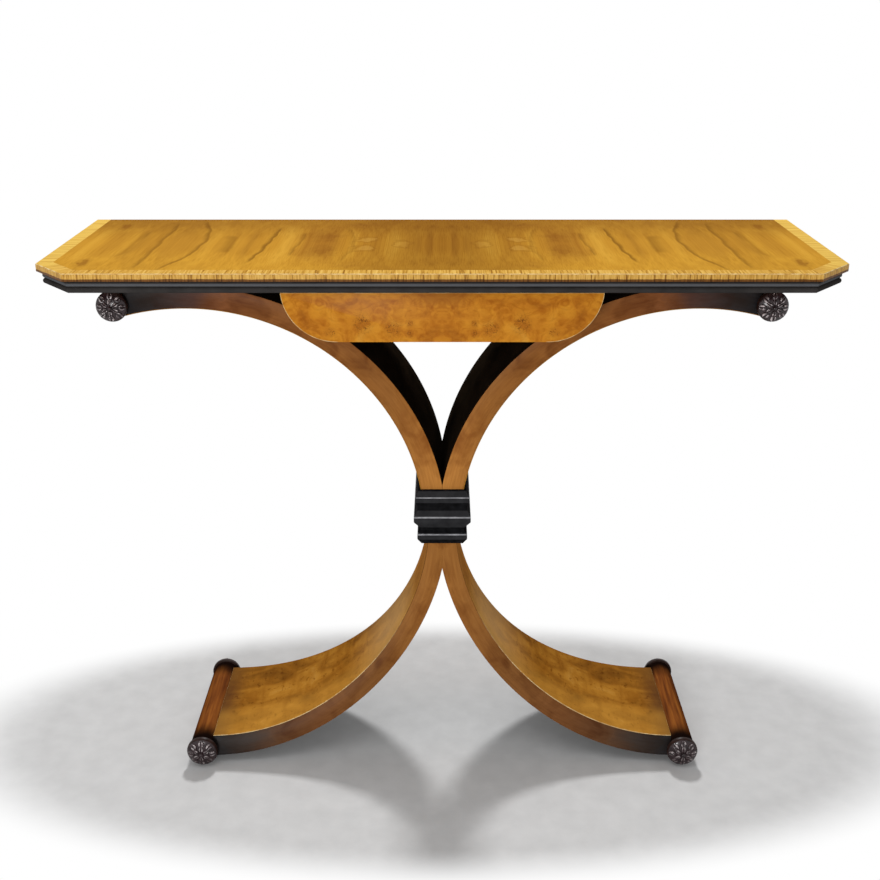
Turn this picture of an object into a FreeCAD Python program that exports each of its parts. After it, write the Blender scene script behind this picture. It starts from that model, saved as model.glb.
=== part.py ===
import FreeCAD, Part
import math
import os

# Console table: a veneered top with canted front corners on two C-curved supports set back to back.
# Millimetres. X runs along the top, the front faces -Y, Z is up and z = 0 is the floor.

# Whole table
table_height = 812.0
top_width = 1100.0
top_depth = 380.0

# Top board and its skins
cant_width = 52.0
cant_depth = 61.0
core_thickness = 9.5
veneer_thickness = 1.0
edge_band_thickness = 2.0
crossband_width = 22.0

# Reeded moulding under the edge of the top
moulding_inset = 7.0
moulding_height = 17.5
moulding_depth = 18.0
reed_bulge = 3.0
reed_fillet_height = 2.0

# C-curved supports, each made of an upper and a lower arm
bearer_thickness = 29.0
bearer_width = 100.0
upper_arm_thickness = 32.5
lower_arm_thickness = 29.5
upper_mating_flat = 6.0
lower_mating_flat = 8.5
arm_floor_gap = 14.0
upper_centre_share = 0.516
lower_centre_share = 0.495
upper_sweep_angle = 30.0
crown_overhang = 105.0
toe_setback = 2.0
upper_arm_depth = 186.0
waist_recess = 52.0
foot_spread = 20.5

# Three-tier collar round the waist
collar_height = 88.0
collar_rise = 32.0
collar_seat = 4.0
collar_projection = 11.8
shoulder_inset = 2.0
collar_station_shares = (0.0, 0.12, 0.205, 0.273, 0.357, 0.464, 0.551, 0.702, 0.749, 0.806, 0.891, 1.0)
collar_projection_shares = (0.39, 0.78, 0.78, 0.53, 0.53, 1.0, 1.0, 0.17, 0.17, 0.57, 0.57, 0.03)

# Turned rolls at the ends of the arms, and the carved rosettes on the ends of the rolls
upper_roll_radius = 20.5
lower_roll_radius = 21.0
roll_flat = 15.5
roll_end_lap = 2.0
upper_roll_rise = 5.0
upper_rosette_lip = 1.5
lower_rosette_lip = 3.0
rosette_floor_clearance = 2.0
rosette_base_thickness = 8.0
rosette_petal_height = 6.0
rosette_button_height = 4.0
rosette_petal_count = 8
petal_ring_share = 0.66
petal_radius_share = 0.3
button_radius_share = 0.36
spigot_radius = 6.0
spigot_length = 15.0

# Glides under the lower rolls
glide_radius = 9.0
glide_height = 10.0
glide_end_distance = 27.0

# Drawer
drawer_front_width = 430.0
drawer_front_height = 68.0
drawer_front_thickness = 18.0
drawer_corner_width = 68.0
drawer_corner_height = 66.0
drawer_bend_share = 0.685
drawer_front_setback = 7.0
drawer_length = 268.0
drawer_side_thickness = 8.0
drawer_side_drop = 5.5
drawer_dado = 6.0
drawer_groove = 4.0
drawer_bottom_thickness = 5.0
drawer_bottom_rise = 6.0
drawer_back_drop = 6.0
drawer_travel = 180.0
drawer_gap = 0.5

# Runners and stop that hold the drawer under the top
runner_clearance = 12.0
runner_web = 12.0
runner_ledge_width = 14.0
runner_ledge_thickness = 6.0
runner_ledge_lift = 1.5
runner_flange_width = 24.0
runner_flange_thickness = 12.0
runner_tail = 20.0
stop_width = 40.0
stop_thickness = 12.0
stop_lap = 6.0
runner_screw_shares = (0.1, 0.5, 0.9)

# Dowels and screws
dowel_radius = 5.0
dowel_length = 32.0
dowel_spread = 50.0
landing_dowel_setback = 36.0
waist_dowel_spread = 25.0
waist_pin_spread = 60.0
waist_dowel_rise = 22.0
screw_length = 18.0
screw_radius = 2.0
screw_head_radius = 4.0
screw_head_height = 2.5
counterbore_radius = 6.0
bearer_screw_edge = 15.0

# Fits
fit_gap = 0.2
overrun = 30.0

# Heights and places worked out from the sizes above
top_surface = table_height - veneer_thickness
core_underside = top_surface - core_thickness
moulding_bottom = core_underside - moulding_height
arm_top = core_underside - bearer_thickness
arm_span = arm_top - arm_floor_gap
upper_centre_z = arm_floor_gap + upper_centre_share * arm_span
lower_centre_z = arm_floor_gap + lower_centre_share * arm_span
upper_outer_radius = arm_top - upper_centre_z
lower_outer_radius = lower_centre_z - arm_floor_gap
upper_radius = upper_outer_radius - upper_arm_thickness
lower_radius = lower_outer_radius - lower_arm_thickness
upper_half_waist = upper_arm_thickness - upper_mating_flat
lower_half_waist = lower_arm_thickness - lower_mating_flat
upper_centre_x = upper_radius + upper_half_waist
lower_centre_x = lower_radius + lower_half_waist
upper_meeting_z = upper_centre_z + math.sqrt(upper_outer_radius ** 2 - upper_centre_x ** 2)
lower_meeting_z = lower_centre_z - math.sqrt(lower_outer_radius ** 2 - lower_centre_x ** 2)
crown_underside = arm_top - upper_arm_thickness
landing_end = top_width / 2 - crown_overhang
end_underside = upper_centre_z + math.sqrt(upper_radius ** 2 - (landing_end - upper_centre_x) ** 2)
toe_end = lower_centre_x - toe_setback
lower_waist_depth = upper_arm_depth - 2 * waist_recess
foot_depth = upper_arm_depth + 2 * foot_spread
collar_middle = lower_centre_z + collar_rise
collar_top = collar_middle + collar_height / 2
collar_bottom = collar_middle - collar_height / 2
shoulder_z = collar_bottom + shoulder_inset
upper_roll_x = landing_end + roll_flat
upper_roll_z = crown_underside + upper_roll_rise
lower_roll_x = toe_end + roll_flat
upper_rosette_radius = upper_roll_radius + upper_rosette_lip
lower_rosette_radius = lower_roll_radius + lower_rosette_lip
lower_roll_z = lower_rosette_radius + rosette_floor_clearance
front_edge = -top_depth / 2
back_edge = top_depth / 2

Vec = FreeCAD.Vector
across = Vec(1, 0, 0)
deep = Vec(0, 1, 0)
up = Vec(0, 0, 1)
upper_centre = Vec(upper_centre_x, 0, upper_centre_z)
lower_centre = Vec(lower_centre_x, 0, lower_centre_z)
nodes = {}


def line(start, end):
    return Part.LineSegment(start, end).toShape()


def arc(start, middle, end):
    return Part.Arc(start, middle, end).toShape()


def solid_from(edges, travel):
    # A solid whose section is a closed outline of edges, carried along the travel vector.
    return Part.Face(Part.Wire(edges)).extrude(travel)


def polygon_edges(points):
    closed = list(points) + [points[0]]
    return [line(start, end) for start, end in zip(closed, closed[1:])]


def block(low, high):
    # A box between two opposite corners.
    size = high - low
    return Part.makeBox(size.x, size.y, size.z, low)


def mirrored_x(shape):
    return shape.mirror(Vec(0, 0, 0), across)


def mirrored_y(shape):
    return shape.mirror(Vec(0, 0, 0), deep)


def add_pair(name, right_shape):
    # The right-hand piece as built, and its mirror image on the left.
    nodes[name + "_right"] = right_shape
    nodes[name + "_left"] = mirrored_x(right_shape)


# Dowels and screws are collected as they are placed. Each dowel has a bore in the two pieces it joins.
dowels = []
dowel_bores = []
screws = []
screw_bores = []


def place_dowel(middle, axis):
    start = middle - axis * (dowel_length / 2)
    bore_length = dowel_length + 2 * fit_gap
    dowels.append(Part.makeCylinder(dowel_radius, dowel_length, start, axis))
    bore_start = start - axis * fit_gap
    dowel_bores.append(Part.makeCylinder(dowel_radius + fit_gap, bore_length, bore_start, axis))


def place_screw(head_face):
    # A countersunk wood screw driven upwards, its head flush with the face at head_face.
    head = Part.makeCone(screw_head_radius, screw_radius, screw_head_height, head_face, up)
    shank = Part.makeCylinder(screw_radius, screw_length, head_face, up)
    screws.append(head.fuse(shank).removeSplitter())
    bore_radius = screw_radius + fit_gap
    sink = Part.makeCone(screw_head_radius + fit_gap, bore_radius, screw_head_height, head_face, up)
    bore = Part.makeCylinder(bore_radius, screw_length + fit_gap, head_face, up)
    screw_bores.append(sink.fuse(bore))


def drilled(shape, bores):
    return shape.cut(bores)


# Outline of the top, anticlockwise from the back left corner, with each edge moved in by its own inset.
edge_names = ("end_left", "cant_left", "front", "cant_right", "end_right", "back")


def top_corners():
    half = top_width / 2
    left = [Vec(-half, back_edge), Vec(-half, front_edge + cant_depth), Vec(-half + cant_width, front_edge)]
    right = [Vec(-corner.x, corner.y) for corner in reversed(left)]
    return left + right


def inward(start, end):
    run = (end - start).normalize()
    return Vec(-run.y, run.x)


def outline(inset, back_inset):
    corners = top_corners()
    count = len(corners)
    lines = []
    for index in range(count):
        start = corners[index]
        end = corners[(index + 1) % count]
        normal = inward(start, end)
        distance = back_inset if edge_names[index] == "back" else inset
        lines.append((normal, normal.dot(start) + distance))
    moved = []
    for index in range(count):
        before_normal, before = lines[index - 1]
        after_normal, after = lines[index]
        turn = before_normal.x * after_normal.y - before_normal.y * after_normal.x
        x = (before * after_normal.y - after * before_normal.y) / turn
        y = (after * before_normal.x - before * after_normal.x) / turn
        moved.append(Vec(x, y))
    return moved


def plate(corners, bottom, thickness):
    raised = [Vec(corner.x, corner.y, bottom) for corner in corners]
    return solid_from(polygon_edges(raised), up * thickness)


def border(outer, inner, index):
    # The plan of one mitred strip between two outlines.
    following = (index + 1) % len(outer)
    return [outer[index], outer[following], inner[following], inner[index]]


# Top board, edge bands, crossbands and the four matched leaves of the field veneer
def build_top():
    edge = outline(0, 0)
    banded = outline(edge_band_thickness, 0)
    field = outline(crossband_width, 0)
    nodes["top_core"] = plate(banded, core_underside, core_thickness)
    for index, name in enumerate(edge_names):
        if name != "back":
            strip = border(edge, field, index)
            nodes["crossband_" + name] = plate(strip, top_surface, veneer_thickness)
            strip = border(edge, banded, index)
            nodes["edge_band_" + name] = plate(strip, core_underside, core_thickness)
    whole = plate(field, top_surface, veneer_thickness)
    front_right = block(Vec(0, front_edge, core_underside), Vec(top_width / 2, 0, table_height))
    back_right = block(Vec(0, 0, core_underside), Vec(top_width / 2, back_edge, table_height))
    add_pair("top_veneer_front", whole.common(front_right))
    add_pair("top_veneer_back", whole.common(back_right))


# Reeded moulding: two half-round reeds below a narrow square fillet, mitred at the cants
def build_mouldings():
    corners = top_corners()
    count = len(corners)
    outer = outline(moulding_inset - reed_bulge, 0)
    inner = outline(moulding_inset + moulding_depth, 0)
    reed_height = (moulding_height - reed_fillet_height) / 2
    for index, name in enumerate(edge_names):
        if name == "back":
            continue
        start = corners[index]
        end = corners[(index + 1) % count]
        run = (end - start).normalize()
        normal = inward(start, end)

        def at(inset, height):
            place = start - run * overrun + normal * inset
            return Vec(place.x, place.y, height)

        seat = moulding_inset + reed_bulge
        back = moulding_inset + moulding_depth
        level = core_underside - reed_fillet_height
        edges = [line(at(back, core_underside), at(seat, core_underside))]
        edges.append(line(at(seat, core_underside), at(seat, level)))
        for reed in range(2):
            below = level - reed_height
            crown = at(moulding_inset, level - reed_height / 2)
            edges.append(arc(at(seat, level), crown, at(seat, below)))
            level = below
        edges.append(line(at(seat, level), at(back, level)))
        edges.append(line(at(back, level), at(back, core_underside)))
        strip = solid_from(edges, run * (start.distanceToPoint(end) + 2 * overrun))
        mitre = plate(border(outer, inner, index), moulding_bottom, moulding_height)
        nodes["moulding_" + name] = strip.common(mitre)


# Points on the curved faces of the right-hand arms
def on_arm(centre, radius, angle):
    radians = math.radians(angle)
    return centre + Vec(radius * math.cos(radians), 0, radius * math.sin(radians))


def angle_at_height(centre, radius, height):
    return 180 - math.degrees(math.asin((height - centre.z) / radius))


def lean_to_middle(centre, radius):
    # How far above or below level a face of this radius reaches the middle of the table.
    return math.degrees(math.acos(centre.x / radius))


def angle_at_toe(radius):
    return 180 + math.degrees(math.acos((lower_centre_x - toe_end) / radius))


def arm_arc(centre, radius, first, last):
    middle = (first + last) / 2
    return arc(on_arm(centre, radius, first), on_arm(centre, radius, middle), on_arm(centre, radius, last))


def in_depth(edges, depth):
    # A solid of the given depth, centred under the top, from an outline drawn at y = 0.
    solid = solid_from(edges, deep * depth)
    solid.translate(deep * (-depth / 2))
    return solid


def upper_arm_blank(edges):
    # The blank is bent past its crown, and sawn off where the roll meets it.
    keep_low = Vec(0, -upper_arm_depth / 2, collar_middle)
    keep_high = Vec(landing_end, upper_arm_depth / 2, arm_top)
    return in_depth(edges, upper_arm_depth).common(block(keep_low, keep_high))


def upper_arm_core():
    # Round on both faces up to the crown, then level on top to seat the bearer.
    inner = upper_radius + veneer_thickness
    joint_angle = angle_at_height(upper_centre, inner, collar_middle)
    meeting_angle = 180 - lean_to_middle(upper_centre, upper_outer_radius)
    meeting = Vec(0, 0, upper_meeting_z)
    joint_middle = Vec(0, 0, collar_middle)
    crown = on_arm(upper_centre, upper_outer_radius, 90)
    sweep_end = on_arm(upper_centre, inner, upper_sweep_angle)
    corner = Vec(sweep_end.x, 0, arm_top)
    edges = [line(corner, crown)]
    edges.append(arc(crown, on_arm(upper_centre, upper_outer_radius, (90 + meeting_angle) / 2), meeting))
    edges.append(line(meeting, joint_middle))
    edges.append(line(joint_middle, on_arm(upper_centre, inner, joint_angle)))
    edges.append(arm_arc(upper_centre, inner, joint_angle, upper_sweep_angle))
    edges.append(line(sweep_end, corner))
    return upper_arm_blank(edges)


def upper_arm_veneer():
    backing = upper_radius + veneer_thickness
    face_joint = angle_at_height(upper_centre, upper_radius, collar_middle)
    back_joint = angle_at_height(upper_centre, backing, collar_middle)
    face_end = on_arm(upper_centre, upper_radius, upper_sweep_angle)
    back_end = on_arm(upper_centre, backing, upper_sweep_angle)
    face_foot = on_arm(upper_centre, upper_radius, face_joint)
    edges = [arm_arc(upper_centre, upper_radius, upper_sweep_angle, face_joint)]
    edges.append(line(face_foot, on_arm(upper_centre, backing, back_joint)))
    edges.append(arm_arc(upper_centre, backing, back_joint, upper_sweep_angle))
    edges.append(line(back_end, face_end))
    return upper_arm_blank(edges)


def flare():
    # Side outline of the lower arms: a full-depth shoulder inside the collar, then a leg that
    # swells from the narrow waist to the foot in one hollow curve on each side.
    shoulder = upper_arm_depth / 2
    waist = lower_waist_depth / 2
    foot = foot_depth / 2
    swell = foot - waist
    drop = shoulder_z - arm_floor_gap
    flare_radius = (drop ** 2 + swell ** 2) / (2 * swell)
    half_way = shoulder_z - drop / 2
    half_depth = waist + flare_radius - math.sqrt(flare_radius ** 2 - (drop / 2) ** 2)
    front = [Vec(0, -shoulder, collar_middle), Vec(0, -shoulder, shoulder_z), Vec(0, -waist, shoulder_z)]
    back = [Vec(0, waist, shoulder_z), Vec(0, shoulder, shoulder_z), Vec(0, shoulder, collar_middle)]
    front_toe = Vec(0, -foot, arm_floor_gap)
    back_toe = Vec(0, foot, arm_floor_gap)
    edges = [line(front[0], front[1]), line(front[1], front[2])]
    edges.append(arc(front[2], Vec(0, -half_depth, half_way), front_toe))
    edges.append(line(front_toe, back_toe))
    edges.append(arc(back_toe, Vec(0, half_depth, half_way), back[0]))
    edges.extend([line(back[0], back[1]), line(back[1], back[2]), line(back[2], front[0])])
    return solid_from(edges, across * toe_end)


def lower_arm_core():
    inner = lower_radius + veneer_thickness
    joint_angle = angle_at_height(lower_centre, inner, collar_middle)
    meeting_angle = 180 + lean_to_middle(lower_centre, lower_outer_radius)
    meeting = Vec(0, 0, lower_meeting_z)
    joint_middle = Vec(0, 0, collar_middle)
    toe_angle = angle_at_toe(lower_outer_radius)
    belly = on_arm(lower_centre, lower_outer_radius, (meeting_angle + toe_angle) / 2)
    toe = on_arm(lower_centre, lower_outer_radius, toe_angle)
    edges = [line(on_arm(lower_centre, inner, joint_angle), joint_middle), line(joint_middle, meeting)]
    edges.append(arc(meeting, belly, toe))
    edges.append(line(toe, on_arm(lower_centre, inner, angle_at_toe(inner))))
    edges.append(arm_arc(lower_centre, inner, angle_at_toe(inner), joint_angle))
    return in_depth(edges, foot_depth).common(flare())


def lower_arm_veneer():
    backing = lower_radius + veneer_thickness
    face_joint = angle_at_height(lower_centre, lower_radius, collar_middle)
    back_joint = angle_at_height(lower_centre, backing, collar_middle)
    face_toe = angle_at_toe(lower_radius)
    back_toe = angle_at_toe(backing)
    face_head = on_arm(lower_centre, lower_radius, face_joint)
    face_end = on_arm(lower_centre, lower_radius, face_toe)
    edges = [line(on_arm(lower_centre, backing, back_joint), face_head)]
    edges.append(arm_arc(lower_centre, lower_radius, face_joint, face_toe))
    edges.append(line(face_end, on_arm(lower_centre, backing, back_toe)))
    edges.append(arm_arc(lower_centre, backing, back_toe, back_joint))
    return in_depth(edges, foot_depth).common(flare())


# Bearer under the top on the right, with counterbores for its screws and bores for the arm's dowels
def bearer():
    low = Vec(landing_end - bearer_width, -upper_arm_depth / 2, arm_top)
    high = Vec(landing_end, upper_arm_depth / 2, core_underside)
    shape = block(low, high)
    seat = core_underside - runner_flange_thickness
    for x in (low.x + bearer_screw_edge, high.x - bearer_screw_edge):
        for y in (low.y + bearer_screw_edge, high.y - bearer_screw_edge):
            place_screw(Vec(x, y, seat))
            shape = shape.cut(Part.makeCylinder(counterbore_radius, seat - arm_top, Vec(x, y, arm_top), up))
    return shape


def place_arm_dowels():
    # Upright dowels at the landing, level ones at the rolls, and pins and cross dowels at the waist.
    toe_middle = arm_floor_gap + lower_arm_thickness / 2
    flat_half = math.sqrt(upper_roll_radius ** 2 - roll_flat ** 2)
    end_middle = (end_underside + upper_roll_z + flat_half) / 2
    for side in (1, -1):
        for end in (1, -1):
            y = end * dowel_spread
            place_dowel(Vec(side * (landing_end - landing_dowel_setback), y, arm_top), up)
            place_dowel(Vec(side * landing_end, y, end_middle), across)
            place_dowel(Vec(side * toe_end, y, toe_middle), across)
            place_dowel(Vec(side * lower_half_waist / 2, end * waist_pin_spread, collar_middle), up)
    for end in (1, -1):
        place_dowel(Vec(0, end * waist_dowel_spread, collar_middle + waist_dowel_rise), across)
        place_dowel(Vec(0, end * waist_dowel_spread, collar_middle - waist_dowel_rise), across)


# Collar: one three-tier moulding section, mitred round the waist as four strips
def collar_profile():
    levels = [collar_top - share * collar_height for share in collar_station_shares]
    reaches = [share * collar_projection for share in collar_projection_shares]
    return list(zip(reaches, levels))


def build_collar():
    half_width = upper_half_waist + collar_seat
    half_depth = upper_arm_depth / 2
    wide = collar_projection + overrun
    profile = collar_profile()
    face = [Vec(-half_width - wide, -half_depth - reach, level) for reach, level in profile]
    back_of_strip = [Vec(-half_width - wide, -half_depth, collar_bottom)]
    back_of_strip.append(Vec(-half_width - wide, -half_depth, collar_top))
    strip = solid_from(polygon_edges(face + back_of_strip), across * (2 * (half_width + wide)))
    plan = [Vec(-half_width - wide, -half_depth - wide), Vec(half_width + wide, -half_depth - wide)]
    plan.extend([Vec(half_width, -half_depth), Vec(-half_width, -half_depth)])
    front = strip.common(plate(plan, collar_bottom, collar_height))
    nodes["collar_front"] = front
    nodes["collar_back"] = mirrored_y(front)
    face = [Vec(half_width + reach, -half_depth - wide, level) for reach, level in profile]
    back_of_strip = [Vec(0, -half_depth - wide, collar_bottom), Vec(0, -half_depth - wide, collar_top)]
    strip = solid_from(polygon_edges(face + back_of_strip), deep * (2 * (half_depth + wide)))
    plan = [Vec(0, -half_depth), Vec(half_width, -half_depth), Vec(half_width + wide, -half_depth - wide)]
    plan.extend([Vec(corner.x, -corner.y) for corner in reversed(plan)])
    reach = deep * (half_depth + wide)
    upper_hollow = Part.makeCylinder(upper_radius - fit_gap, 2 * reach.Length, upper_centre - reach, deep)
    lower_hollow = Part.makeCylinder(lower_radius - fit_gap, 2 * reach.Length, lower_centre - reach, deep)
    upper_half = strip.common(plate(plan, collar_middle, collar_height / 2)).common(upper_hollow)
    lower_half = strip.common(plate(plan, collar_bottom, collar_height / 2)).common(lower_hollow)
    add_pair("collar_side", upper_half.fuse(lower_half).removeSplitter())


# Rolls: turned cylinders with one planed flat against the arm and a socket in each end
def roll(axis_x, axis_z, radius, length):
    half = length / 2
    socket_radius = spigot_radius + fit_gap
    socket_depth = spigot_length + fit_gap
    shape = Part.makeCylinder(radius, length, Vec(axis_x, -half, axis_z), deep)
    flat_low = Vec(axis_x - roll_flat - radius, -half, axis_z - radius)
    flat_high = Vec(axis_x - roll_flat, half, axis_z + radius)
    shape = shape.cut(block(flat_low, flat_high))
    for start, axis in ((-half, deep), (half, -deep)):
        shape = shape.cut(Part.makeCylinder(socket_radius, socket_depth, Vec(axis_x, start, axis_z), axis))
    return shape


# Rosette: a turned disc with a ring of petals and a button, on a spigot that fits the roll's socket
def rosette(axis_x, axis_z, radius, seat):
    out = -deep
    front = seat - rosette_base_thickness
    shape = Part.makeCylinder(radius, rosette_base_thickness, Vec(axis_x, seat, axis_z), out)
    shape = shape.fuse(Part.makeCylinder(spigot_radius, spigot_length, Vec(axis_x, seat, axis_z), deep))
    reach = radius * petal_ring_share
    root_radius = radius * petal_radius_share
    petals = []
    for petal in range(rosette_petal_count):
        turn = 2 * math.pi * petal / rosette_petal_count
        foot = Vec(axis_x + reach * math.cos(turn), front, axis_z + reach * math.sin(turn))
        petals.append(Part.makeCone(root_radius, root_radius / 2, rosette_petal_height, foot, out))
    button_radius = radius * button_radius_share
    button_height = rosette_petal_height + rosette_button_height
    petals.append(Part.makeCylinder(button_radius, button_height, Vec(axis_x, front, axis_z), out))
    return shape.fuse(petals).removeSplitter()


def build_ends():
    upper_length = upper_arm_depth + 2 * roll_end_lap
    lower_length = foot_depth + 2 * roll_end_lap
    upper = roll(upper_roll_x, upper_roll_z, upper_roll_radius, upper_length)
    add_pair("upper_roll", drilled(upper, dowel_bores))
    lower = roll(lower_roll_x, lower_roll_z, lower_roll_radius, lower_length)
    pads = []
    for end in (1, -1):
        place = Vec(lower_roll_x, end * (foot_depth / 2 - glide_end_distance), 0)
        seat = Part.makeCylinder(glide_radius + fit_gap, glide_height, place, up)
        lower = lower.cut(seat)
        pads.append(Part.makeCylinder(glide_radius, glide_height, place, up))
    add_pair("lower_roll", drilled(lower, dowel_bores))
    nodes["foot_glides"] = Part.makeCompound(pads + [mirrored_x(pad) for pad in pads])
    upper_rosette = rosette(upper_roll_x, upper_roll_z, upper_rosette_radius, -upper_length / 2)
    add_pair("upper_rosette_front", upper_rosette)
    add_pair("upper_rosette_back", mirrored_y(upper_rosette))
    lower_rosette = rosette(lower_roll_x, lower_roll_z, lower_rosette_radius, -lower_length / 2)
    add_pair("lower_rosette_front", lower_rosette)
    add_pair("lower_rosette_back", mirrored_y(lower_rosette))


# Drawer, in places measured from the front face of its front
face_y = front_edge + moulding_inset + drawer_front_setback
front_back_y = face_y + drawer_front_thickness
front_top = moulding_bottom - drawer_gap
front_bottom = front_top - drawer_front_height
ledge_bottom = front_bottom + runner_ledge_lift
ledge_top = ledge_bottom + runner_ledge_thickness
arm_gap = upper_centre_x - math.sqrt(upper_outer_radius ** 2 - (ledge_bottom - upper_centre_z) ** 2)
runner_face = arm_gap - runner_clearance - runner_web
box_half = runner_face - drawer_gap
side_bottom = ledge_top + drawer_gap
side_top = front_top - drawer_side_drop
box_end = front_back_y + drawer_length
bottom_under = side_bottom + drawer_bottom_rise
bottom_top = bottom_under + drawer_bottom_thickness
back_top = side_top - drawer_back_drop
inside_half = box_half - drawer_side_thickness


def drawer_front_plate(near, far):
    # A tablet with its two lower corners rounded in long shallow curves.
    half = drawer_front_width / 2
    shoulder = front_bottom + drawer_corner_height
    toe = half - drawer_corner_width
    bend_x = toe + drawer_corner_width * drawer_bend_share
    bend_z = shoulder - drawer_corner_height * drawer_bend_share
    points = [Vec(-half, near, shoulder), Vec(-half, near, front_top), Vec(half, near, front_top)]
    points.append(Vec(half, near, shoulder))
    edges = [line(start, end) for start, end in zip(points, points[1:])]
    edges.append(arc(points[3], Vec(bend_x, near, bend_z), Vec(toe, near, front_bottom)))
    edges.append(line(Vec(toe, near, front_bottom), Vec(-toe, near, front_bottom)))
    edges.append(arc(Vec(-toe, near, front_bottom), Vec(-bend_x, near, bend_z), points[0]))
    return solid_from(edges, deep * (far - near))


def build_drawer():
    skin_back = face_y + veneer_thickness
    skin = drawer_front_plate(face_y, skin_back)
    right_half = block(Vec(0, face_y, front_bottom), Vec(drawer_front_width / 2, skin_back, front_top))
    add_pair("drawer_front_veneer", skin.common(right_half))
    dado_y = front_back_y - drawer_dado
    side = block(Vec(inside_half, dado_y, side_bottom), Vec(box_half, box_end, side_top))
    groove_y = front_back_y - drawer_groove
    groove_half = inside_half + drawer_groove
    panel = block(Vec(-groove_half, groove_y, bottom_under), Vec(groove_half, box_end, bottom_top))
    back_low = Vec(-inside_half, box_end - drawer_side_thickness, bottom_top)
    nodes["drawer_front"] = drawer_front_plate(skin_back, front_back_y).cut([side, mirrored_x(side), panel])
    add_pair("drawer_side", side.cut(panel))
    nodes["drawer_back"] = block(back_low, Vec(inside_half, box_end, back_top))
    nodes["drawer_bottom"] = panel


# Runner on the right: a flange screwed to the board, a web beside the drawer and a ledge under it
def runner():
    web_out = runner_face + runner_web
    flange_out = web_out + runner_flange_width
    flange_under = core_underside - runner_flange_thickness
    near = front_back_y + drawer_gap
    far = box_end + runner_tail
    ledge_in = runner_face - runner_ledge_width
    section = [Vec(ledge_in, near, ledge_bottom), Vec(web_out, near, ledge_bottom)]
    section.extend([Vec(web_out, near, flange_under), Vec(flange_out, near, flange_under)])
    section.extend([Vec(flange_out, near, core_underside), Vec(runner_face, near, core_underside)])
    section.extend([Vec(runner_face, near, ledge_top), Vec(ledge_in, near, ledge_top)])
    screw_x = web_out + runner_flange_width / 2
    for share in runner_screw_shares:
        place_screw(Vec(screw_x, near + share * (far - near), flange_under))
    return solid_from(polygon_edges(section), deep * (far - near))


def drawer_stop():
    # The back of the drawer meets this block at the end of its travel.
    rear = box_end - drawer_side_thickness - drawer_travel - drawer_gap
    low = Vec(-stop_width / 2, rear - stop_thickness, back_top - stop_lap)
    return block(low, Vec(stop_width / 2, rear, core_underside))


# Assembly, in the order of the bench
build_top()
build_mouldings()
place_arm_dowels()
plain_bearer = bearer()
plain_runner = runner()
screws.extend([mirrored_x(screw) for screw in screws])
screw_bores.extend([mirrored_x(bore) for bore in screw_bores])
nodes["top_core"] = drilled(nodes["top_core"], screw_bores)
add_pair("top_bearer", drilled(plain_bearer, dowel_bores + screw_bores))
add_pair("upper_arm", drilled(upper_arm_core(), dowel_bores))
add_pair("upper_arm_veneer", upper_arm_veneer())
add_pair("lower_arm", drilled(lower_arm_core(), dowel_bores))
add_pair("lower_arm_veneer", lower_arm_veneer())
build_collar()
build_ends()
build_drawer()
add_pair("drawer_runner", drilled(plain_runner, screw_bores))
nodes["drawer_stop"] = drawer_stop()
nodes["beech_dowels"] = Part.makeCompound(dowels)
nodes["underside_screws"] = Part.makeCompound(screws)

os.makedirs("parts", exist_ok=True)
for name, shape in nodes.items():
    shape.exportStep(os.path.join("parts", name + ".step"))
    print(name, len(shape.Solids), shape.isValid(), round(shape.Volume))
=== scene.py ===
import math

import bmesh
import bpy
from mathutils import Matrix, Vector


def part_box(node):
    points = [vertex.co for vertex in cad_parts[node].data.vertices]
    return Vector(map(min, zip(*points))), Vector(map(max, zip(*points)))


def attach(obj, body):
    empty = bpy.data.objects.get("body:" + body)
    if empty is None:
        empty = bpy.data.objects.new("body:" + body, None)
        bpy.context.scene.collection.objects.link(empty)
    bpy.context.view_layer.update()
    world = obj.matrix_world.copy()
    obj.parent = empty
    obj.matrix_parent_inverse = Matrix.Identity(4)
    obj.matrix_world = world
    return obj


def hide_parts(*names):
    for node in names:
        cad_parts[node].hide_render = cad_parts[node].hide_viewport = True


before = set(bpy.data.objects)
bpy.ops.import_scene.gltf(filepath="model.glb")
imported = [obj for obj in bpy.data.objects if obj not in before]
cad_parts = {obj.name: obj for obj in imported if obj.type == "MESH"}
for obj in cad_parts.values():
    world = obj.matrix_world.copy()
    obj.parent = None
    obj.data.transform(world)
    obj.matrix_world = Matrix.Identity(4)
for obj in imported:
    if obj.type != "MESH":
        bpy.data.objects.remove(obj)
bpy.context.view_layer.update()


# Top board
# A plain softwood board 9.5 mm thick, which carries all the veneers of the top.
# Only its underside and its back edge show, planed and left unpolished.

def tone(red, green, blue):
    # A colour as it looks on paper, 0 to 255 a channel, in the linear light that the shader takes.
    linear = [((part / 255 + 0.055) / 1.055) ** 2.4 for part in (red, green, blue)]
    return (*linear, 1.0)


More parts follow.
